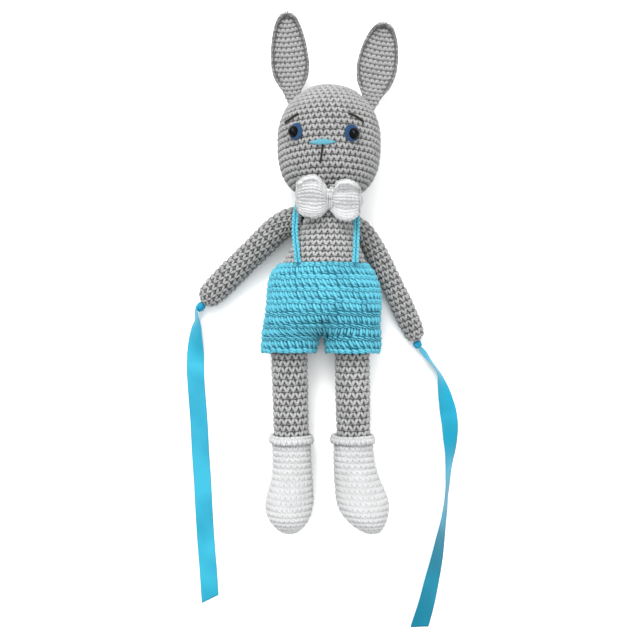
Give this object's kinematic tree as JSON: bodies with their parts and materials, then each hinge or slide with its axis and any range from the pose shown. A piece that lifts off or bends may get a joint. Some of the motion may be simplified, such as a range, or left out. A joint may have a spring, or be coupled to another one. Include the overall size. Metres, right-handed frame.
{
  "type": "stuffed toy rabbit",
  "caption": "Crocheted stuffed rabbit doll lying on its back, with cupped ears, long limbs, shorts with suspenders, bow tie, booties and a satin ribbon at each hand.",
  "frame": {"origin": "middle of the flat back of the shorts, where the doll rests on a surface", "axes": "+Y towards the head and ears, +X to the viewer's right, +Z out of the doll's front"},
  "size_m": [0.1902, 0.4204, 0.0689],
  "materials": {
    "grey_cotton": "matte",
    "turquoise_cotton": "matte",
    "white_cotton": "matte",
    "satin_ribbon": "satin",
    "polyester_fill": "matte",
    "brown_thread": "matte",
    "turquoise_thread": "satin",
    "blue_felt": "matte",
    "black_eye": "gloss",
    "washer_plastic": "matte"
  },
  "bodies": {
    "torso": {"torso_shell": "grey_cotton", "torso_stuffing": "polyester_fill", "neck_seam": "grey_cotton", "shorts_body": "turquoise_cotton", "left_suspender": "turquoise_cotton", "right_suspender": "turquoise_cotton", "bow_tie": "white_cotton", "bow_wrap": "white_cotton", "left_arm_seam": "grey_cotton", "right_arm_seam": "grey_cotton"},
    "head": {"head_shell": "grey_cotton", "head_stuffing": "polyester_fill", "left_safety_eye": "black_eye", "right_safety_eye": "black_eye", "left_eye_washer": "washer_plastic", "right_eye_washer": "washer_plastic", "left_eye_felt": "blue_felt", "right_eye_felt": "blue_felt", "left_eyebrow": "brown_thread", "right_eyebrow": "brown_thread", "nose_embroidery": "turquoise_thread", "mouth_thread": "brown_thread"},
    "left_ear_body": {"left_ear": "grey_cotton"},
    "right_ear_body": {"right_ear": "grey_cotton"},
    "left_arm": {"left_arm_shell": "grey_cotton", "left_arm_stuffing": "polyester_fill"},
    "right_arm": {"right_arm_shell": "grey_cotton", "right_arm_stuffing": "polyester_fill"},
    "left_ribbon_body": {"left_ribbon": "satin_ribbon", "left_ribbon_knot": "satin_ribbon"},
    "right_ribbon_body": {"right_ribbon": "satin_ribbon", "right_ribbon_knot": "satin_ribbon"},
    "left_leg": {"left_leg_shell": "grey_cotton", "left_leg_stuffing": "polyester_fill", "left_bootie": "white_cotton", "left_foot_stuffing": "polyester_fill", "left_bootie_cuff": "white_cotton", "left_shorts_leg": "turquoise_cotton"},
    "right_leg": {"right_leg_shell": "grey_cotton", "right_leg_stuffing": "polyester_fill", "right_bootie": "white_cotton", "right_foot_stuffing": "polyester_fill", "right_bootie_cuff": "white_cotton", "right_shorts_leg": "turquoise_cotton"}
  },
  "joints": [
    {"name": "neck_turn", "type": "hinge", "parent": "torso", "child": "head", "pos_m": [0.0033, 0.0475, 0.033], "axis": [0, 1, 0], "range_deg": [-35, 35]},
    {"name": "left_ear_fold", "type": "hinge", "parent": "head", "child": "left_ear_body", "pos_m": [-0.0218, 0.1172, 0.033], "axis": [1, 0, 0], "range_deg": [-15, 60], "stiffness_Nm_per_rad": 0.02},
    {"name": "right_ear_fold", "type": "hinge", "parent": "head", "child": "right_ear_body", "pos_m": [0.0318, 0.1136, 0.033], "axis": [1, 0, 0], "range_deg": [-15, 60], "stiffness_Nm_per_rad": 0.02},
    {"name": "left_shoulder_raise", "type": "hinge", "parent": "torso", "child": "left_arm", "pos_m": [-0.0274, 0.0319, 0.0138], "axis": [0, 0, -1], "range_deg": [-8, 70]},
    {"name": "right_shoulder_raise", "type": "hinge", "parent": "torso", "child": "right_arm", "pos_m": [0.0282, 0.0258, 0.0126], "axis": [0, 0, 1], "range_deg": [-4, 90]},
    {"name": "left_hip_swing", "type": "hinge", "parent": "torso", "child": "left_leg", "pos_m": [-0.0238, -0.047, 0.02], "axis": [-1, 0, 0], "range_deg": [0, 80]},
    {"name": "right_hip_swing", "type": "hinge", "parent": "torso", "child": "right_leg", "pos_m": [0.019, -0.047, 0.02], "axis": [-1, 0, 0], "range_deg": [0, 80]},
    {"name": "left_ribbon_swing", "type": "hinge", "parent": "left_arm", "child": "left_ribbon_body", "pos_m": [-0.0859, -0.0256, 0.0052], "axis": [0, 0, -1], "range_deg": [0, 35]},
    {"name": "right_ribbon_swing", "type": "hinge", "parent": "right_arm", "child": "right_ribbon_body", "pos_m": [0.0657, -0.0522, 0.0046], "axis": [0, 0, 1], "range_deg": [0, 35]}
  ]
}
